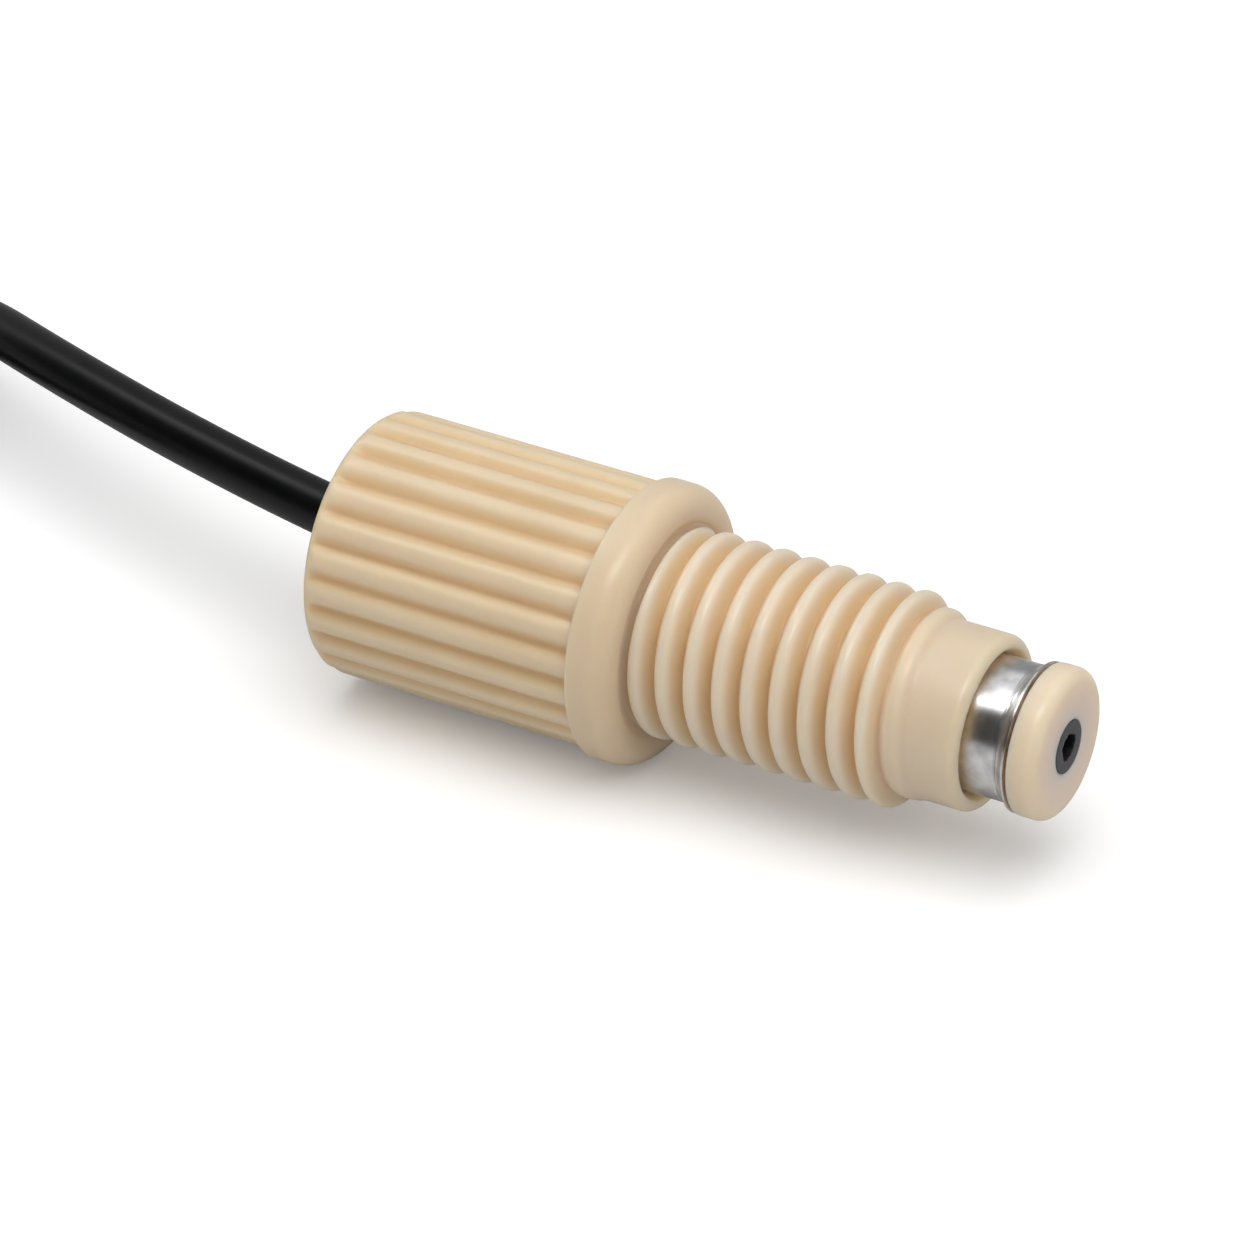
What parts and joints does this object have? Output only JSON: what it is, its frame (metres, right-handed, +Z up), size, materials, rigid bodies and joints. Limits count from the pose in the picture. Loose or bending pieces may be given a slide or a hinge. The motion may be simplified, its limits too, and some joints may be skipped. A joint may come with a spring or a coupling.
{
  "type": "fingertight tube fitting",
  "caption": "Moulded finger-tight nut with fluted grip and male thread, steel lock ring and flat-faced ferrule on a black capillary tube.",
  "frame": {"origin": "on the surface that the fitting lies on, under the middle of its length from the grip's back face to the ferrule's sealing face; the nut's axis is half the collar's diameter above it", "axes": "+X along the nut's axis towards the ferrule's sealing face, +Z up, away from the surface it lies on"},
  "size_m": [0.0586, 0.0207, 0.0083],
  "materials": {
    "peek_nut": "satin natural PEEK, moulded",
    "peek_ferrule": "slightly translucent natural PEEK, turned",
    "steel": "turned and brushed stainless steel",
    "black_tube": "satin black extruded polymer tube"
  },
  "bodies": {
    "tube": {"tube_held": "black_tube", "ferrule": "peek_ferrule", "tube_run": "black_tube", "tube_coil": "black_tube"},
    "ring": {"lock_ring": "steel"},
    "nut": {"nut": "peek_nut"}
  },
  "joints": [
    {"name": "ring_back_off", "type": "slide", "parent": "tube", "child": "ring", "axis": [-1, 0, 0], "range_m": [0, 0.0024]},
    {"name": "nut_turn", "type": "hinge", "parent": "ring", "child": "nut", "pos_m": [0, 0, 0.00417], "axis": [1, 0, 0], "continuous": true}
  ]
}
